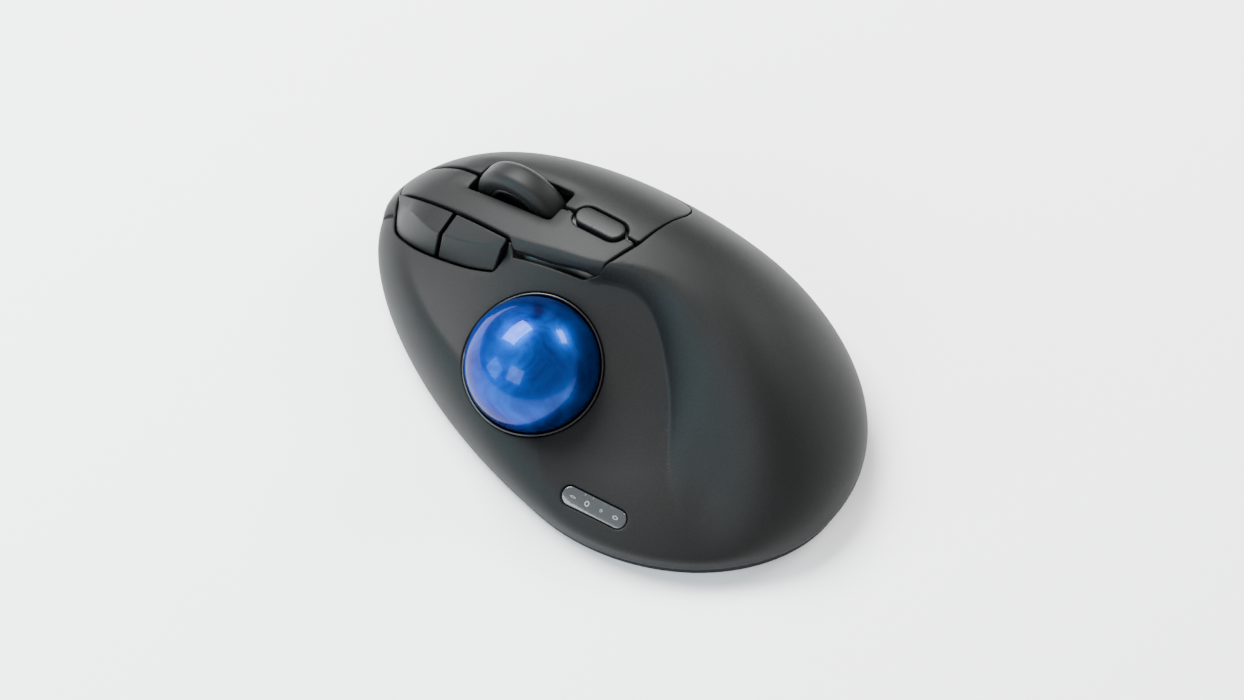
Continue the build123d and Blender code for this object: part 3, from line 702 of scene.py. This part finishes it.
def led_window():
    outline = closed_even(led_outline(0.0), 1, 0.3)
    vertices, faces = skin_patch([outline], 0.3, 2.0, 0.6, led_top, lambda x, y: (x, y))
    add_mesh("indicator_lens", vertices, faces, "housing", window_material(),
             ["led_window"])
    along = Vector(window_along).normalized()
    side = Vector((-along.y, along.x))
    print_white = plain_surface("pale printed mark", "7d8084", 0.5)
    for k in range(4):
        middle = Vector(window_place) + along * (k - 1.5) * 3.9
        wide, tall = ((0.22, 0.75), (0.62, 0.62), (0.34, 0.34), (0.42, 0.72))[k]
        count, ink = 28, Vector((-0.4, -0.17, 0.9)) * 0.05
        ring = [middle + side * wide * math.cos(a) + along * tall * math.sin(a)
                for a in (2 * math.pi * i / count for i in range(count))]
        hole = [middle + (p - middle) * 0.62 for p in ring]
        raised = [led_top(*p) + ink for p in ring + hole]
        faces = [(i, (i + 1) % count, count + (i + 1) % count, count + i) for i in range(count)]
        add_mesh(f"indicator_mark_{k + 1}", raised, faces, "housing", print_white)


led_window()


# ---------------------------------------------------------------- ball and its ring
# A polished resin ball with blue pearl under a clear surface, in a thin black ring.
black_abs = plain_surface("plain black ABS", "0c0c0e", 0.38)


def pearl():
    """Polyester resin with mica pearl: a metallic blue that clouds slowly, glinting flakes and a
    clear polished surface. The flakes are drawn at 0.35 mm, coarser than real ones, to show."""
    material, surface = new_material("blue pearl resin")
    links = material.node_tree.links
    place = add_node(material, "ShaderNodeTexCoord")
    swirl = add_node(material, "ShaderNodeTexNoise", [(place, "Object", "Vector")],
                     Scale=1000 / 11, Detail=6.0, Roughness=0.6, Distortion=0.8)
    flakes = add_node(material, "ShaderNodeTexVoronoi", [(place, "Object", "Vector")],
                      Scale=1000 / 0.35)
    depth = add_node(material, "ShaderNodeValToRGB", [(swirl, "Fac", "Fac")])
    depth.color_ramp.elements[0].position, depth.color_ramp.elements[1].position = 0.3, 0.75
    depth.color_ramp.elements[0].color = paint("020f4a")
    depth.color_ramp.elements[1].color = paint("0446a0")
    glint = add_node(material, "ShaderNodeMapRange", [(flakes, "Distance", "Value")])
    glint.inputs["To Min"].default_value, glint.inputs["To Max"].default_value = 0.30, 0.42
    links.new(depth.outputs["Color"], surface.inputs["Base Color"])
    links.new(glint.outputs["Result"], surface.inputs["Roughness"])
    surface.inputs["Metallic"].default_value = 0.85
    surface.inputs["Specular IOR Level"].default_value = 0.1
    surface.inputs["Specular Tint"].default_value = paint("081a66")
    surface.inputs["Coat Weight"].default_value = 0.4
    surface.inputs["Coat Roughness"].default_value = 0.015
    surface.inputs["Coat IOR"].default_value = 1.33
    return material


def ball():
    """The ball, with more rows than it needs at its poles so that its highlights stay clean."""
    vertices, faces, rows, columns = [], [], 96, 144
    for j in range(1, rows):
        tilt = math.pi * j / rows
        for i in range(columns):
            turn = 2 * math.pi * i / columns
            vertices.append((ball_x + ball_radius * math.sin(tilt) * math.cos(turn),
                             ball_y + ball_radius * math.sin(tilt) * math.sin(turn),
                             ball_z + ball_radius * math.cos(tilt)))
    for j in range(rows - 2):
        for i in range(columns):
            a, b = j * columns + i, j * columns + (i + 1) % columns
            faces.append((a, a + columns, b + columns, b))
    top, bottom = len(vertices), len(vertices) + 1
    vertices += [(ball_x, ball_y, ball_z + ball_radius), (ball_x, ball_y, ball_z - ball_radius)]
    last = (rows - 2) * columns
    for i in range(columns):
        faces.append((top, i, (i + 1) % columns))
        faces.append((bottom, last + (i + 1) % columns, last + i))
    add_mesh("thumb_ball", vertices, faces, "ball", pearl(), ["trackball"])


def ring():
    """A bezel that follows the skin round the ball, a fifth of a millimetre proud."""
    inner, outer = ring_outline(ball_radius + 0.42), ring_outline(ball_radius + 1.0)
    section = [(0.0, -3.0), (0.0, -0.05), (0.12, 0.14), (0.32, 0.22), (0.6, 0.2), (0.85, 0.1),
               (1.0, -0.1), (1.0, -3.0)]
    vertices, faces = [], []
    count, size = len(inner), len(section)
    for a, b in zip(inner, outer):
        for share, rise in section:
            p = a.lerp(b, share)
            vertices.append(skin_over(*p) + socket_axis * rise)
    for i in range(count):
        for k in range(size - 1):
            a, b = i * size + k, (i + 1) % count * size + k
            faces.append((a, a + 1, b + 1, b))
    add_mesh("ball_bezel", vertices, faces, "housing", black_abs, ["ball_ring"])


ball()
ring()


# ---------------------------------------------------------------- scroll wheel
# A smooth silicone tyre with a broad crown on a black hub, whose rim shows as a thin ring.
wheel_middle = Vector((8.978, 33.7, 32.2))
tyre_radius, tyre_half, tyre_round = 14.0, 3.8, 2.4
tyre_rubber = grained_plastic("smooth silicone rubber", "0b0c0c", "101111", 0.2, 0.5, 0.08)


def turned(name, profile, material, replaced, segments=128):
    """A piece turned about the wheel's axle. profile is (offset along the axle, radius)."""
    lean = math.atan(0.06)
    across = Vector((math.cos(lean), math.sin(lean), 0))
    ahead = Vector((-math.sin(lean), math.cos(lean), 0))
    vertices, faces, size = [], [], len(profile)
    for i in range(segments):
        turn = 2 * math.pi * i / segments
        for off, radius in profile:
            vertices.append(wheel_middle + across * off + ahead * radius * math.cos(turn)
                            + Vector((0, 0, radius * math.sin(turn))))
    for i in range(segments):
        for k in range(size):
            a, b = i * size + k, i * size + (k + 1) % size
            c, d = (i + 1) % segments * size + k, (i + 1) % segments * size + (k + 1) % size
            faces.append((a, b, d, c))
    add_mesh(name, vertices, faces, "wheel", material, replaced)


def tyre_profile():
    """Rounded shoulders, with a crown that rises a quarter of a millimetre to the middle."""
    flat, crown, bore = tyre_half - tyre_round, 0.25, 9.2
    points = []
    for side in (-1, 1):
        arc = []
        for k in range(9):
            turn = math.pi / 2 * k / 8
            off = flat + tyre_round * math.sin(turn)
            rise = crown * min(1, max(0, 1 - (off - flat) / 2))
            radius = tyre_radius - crown - tyre_round + tyre_round * math.cos(turn) + rise
            arc.append((side * off, min(radius, tyre_radius)))
        points += arc[::-1] if side < 0 else [(0.0, tyre_radius)] + arc
    return points + [(tyre_half, bore + 0.2), (tyre_half - 0.25, bore),
                     (0.25 - tyre_half, bore), (-tyre_half, bore + 0.2)]


def hub_profile():
    """A spool's outline, dished on both faces round the boss for the axle."""
    return [(-3.4, 9.15), (-3.55, 8.9), (-3.55, 8.3), (-3.3, 8.1), (-2.0, 7.7), (-2.0, 3.0),
            (-3.2, 2.6), (-3.2, 1.3), (3.2, 1.3), (3.2, 2.6), (2.0, 3.0), (2.0, 7.7), (3.3, 8.1),
            (3.55, 8.3), (3.55, 8.9), (3.4, 9.15)]


turned("wheel_tyre", tyre_profile(), tyre_rubber, ["scroll_tyre"])
turned("wheel_hub", hub_profile(), black_abs, ["scroll_hub"])


# ---------------------------------------------------------------- button frame, ball cup and bearings
# Black ABS mouldings inside the shell, and three polished ceramic balls that carry the ball.
# They keep the exact shape that they were designed with.
def as_designed(material, slot, *names):
    """Nodes that are shown as they are, in one finish."""
    for name in names:
        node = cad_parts[name]
        node.data.materials.clear()
        node.data.materials.append(material)


ceramic = plain_surface("polished ceramic", "e8e4da", 0.12)
as_designed(black_abs, "black_abs", "button_frame", "ball_cup")
as_designed(ceramic, "ceramic", "bearing_balls")


# ---------------------------------------------------------------- base, door, glide pads, screws and label
# The base and its sliding door are spark-textured ABS. The pads are PTFE glued into pockets,
# the screws and axle plated steel, and the label a blank film with no marks.
base_abs = grained_plastic("spark-textured black ABS", "0f0f11", "171719", 0.5, 0.6, 0.5)
glide = plain_surface("PTFE glide sheet", "4b4c4e", 0.4)
steel = plain_surface("plated steel", "b9b9bb", 0.3, metallic=1.0)
film = plain_surface("blank silver polyester film", "9a9c9e", 0.35, metallic=0.3)
as_designed(base_abs, "base_plastic", "base_cover", "battery_door")
as_designed(glide, "ptfe", "front_left_foot", "front_right_foot", "left_foot", "right_foot",
            "rear_foot")
as_designed(steel, "steel", "base_screws", "board_screws", "scroll_axle")
as_designed(film, "label_film", "rating_label")


# ---------------------------------------------------------------- carrier, sliders and pushers
# Plain grey acetal, which slides well without grease, for the small moving parts.
acetal = plain_surface("grey acetal", "4a4b4f", 0.45)
as_designed(acetal, "pom", "wheel_carrier", "wheel_encoder", "power_slider", "pairing_button")


# ---------------------------------------------------------------- boards, chips, switches and optics
# Glass-epoxy boards under green solder mask, with epoxy-cased chips, black snap switches and
# clear acrylic optics screwed or clipped above the base.
green_board = plain_surface("green solder mask", "10482a", 0.35)
chip_epoxy = plain_surface("moulded epoxy", "151516", 0.5)
switch_black = plain_surface("switch housing", "1b1b1c", 0.42)
white_led = plain_surface("white LED package", "f2f0e8", 0.3)
as_designed(white_led, "clear_optic", "sensor_lens", "light_guides")
as_designed(chip_epoxy, "chip_black", "sensor_chip", "radio_chip")
as_designed(green_board, "pcb_green", "sensor_board", "main_board", "deck_board", "switch_board",
            "indicator_board")
as_designed(switch_black, "switch_case", "left_switch", "right_switch", "middle_switch",
            "forward_switch", "back_switch", "dpi_switch", "power_switch", "pairing_switch")
as_designed(white_led, "led_white", "indicator_leds")


# ---------------------------------------------------------------- cell, contacts and receiver
# A cell in a plain printed sleeve between nickel-plated spring contacts, and the small radio
# receiver stowed beside it.
sleeve = plain_surface("printed cell sleeve", "60646a", 0.3, coat=0.5)
spring_steel = plain_surface("nickel-plated spring steel", "c4c0b8", 0.28, metallic=1.0)
as_designed(sleeve, "cell_sleeve", "battery_cell")
as_designed(spring_steel, "nickel_spring", "battery_contacts")
as_designed(chip_epoxy, "receiver_body", "usb_receiver")


# ---------------------------------------------------------------- table top, light and camera
# A plain pale table under a large soft light ahead of the mouse and overhead, a small window
# light from the right, and two weaker ones from the left, of which one is cool.
def table_top():
    mesh = bpy.data.meshes.new("table_top")
    mesh.from_pydata([(-3, -3, 0), (3, -3, 0), (3, 3, 0), (-3, 3, 0)], [], [(0, 1, 2, 3)])
    floor = bpy.data.objects.new("table_top", mesh)
    bpy.context.collection.objects.link(floor)
    mesh.materials.append(plain_surface("pale matt laminate", "fbfbfb", 0.8))


def soft_light(name, place, width, height, energy, colour=(1, 1, 1)):
    lamp = bpy.data.lights.new(name, "AREA")
    lamp.shape, lamp.size, lamp.size_y = "RECTANGLE", width, height
    lamp.energy, lamp.color = energy, colour
    holder = bpy.data.objects.new(name, lamp)
    bpy.context.collection.objects.link(holder)
    holder.location = place
    holder.rotation_euler = (Vector((0, 0, 0.02)) - Vector(place)).to_track_quat("-Z", "Y").to_euler()


table_top()
soft_light("front softbox", (0.1, 0.6, 0.9), 0.75, 0.5, 46)
soft_light("window", (0.6, -0.22, 0.5), 0.3, 0.16, 4.5)
soft_light("cool fill", (-0.59, 0.35, 0.26), 0.3, 0.3, 3.6, (0.35, 0.82, 1.0))
soft_light("left softbox", (-0.85, -0.1, 0.6), 0.45, 0.45, 6)
sky = bpy.data.worlds.new("studio")
bpy.context.scene.world = sky
sky.use_nodes = True
sky.node_tree.nodes["Background"].inputs["Color"].default_value = (1.0, 1.0, 1.0, 1)
sky.node_tree.nodes["Background"].inputs["Strength"].default_value = 0.8

lens = bpy.data.cameras.new("camera")
lens.lens, lens.sensor_width = 80, 36
camera = bpy.data.objects.new("camera", lens)
bpy.context.collection.objects.link(camera)
back = Vector((-0.406, -0.341, 0.848)).normalized()
right = Vector((0.643, -0.766, 0)).normalized()
up = back.cross(right)
spot = Vector((0, 0, 0.018)) + back * 0.7 + right * 0.00418 - up * 0.0043
camera.matrix_world = Matrix(((right.x, up.x, back.x, spot.x), (right.y, up.y, back.y, spot.y),
                              (right.z, up.z, back.z, spot.z), (0, 0, 0, 1)))
bpy.context.scene.camera = camera
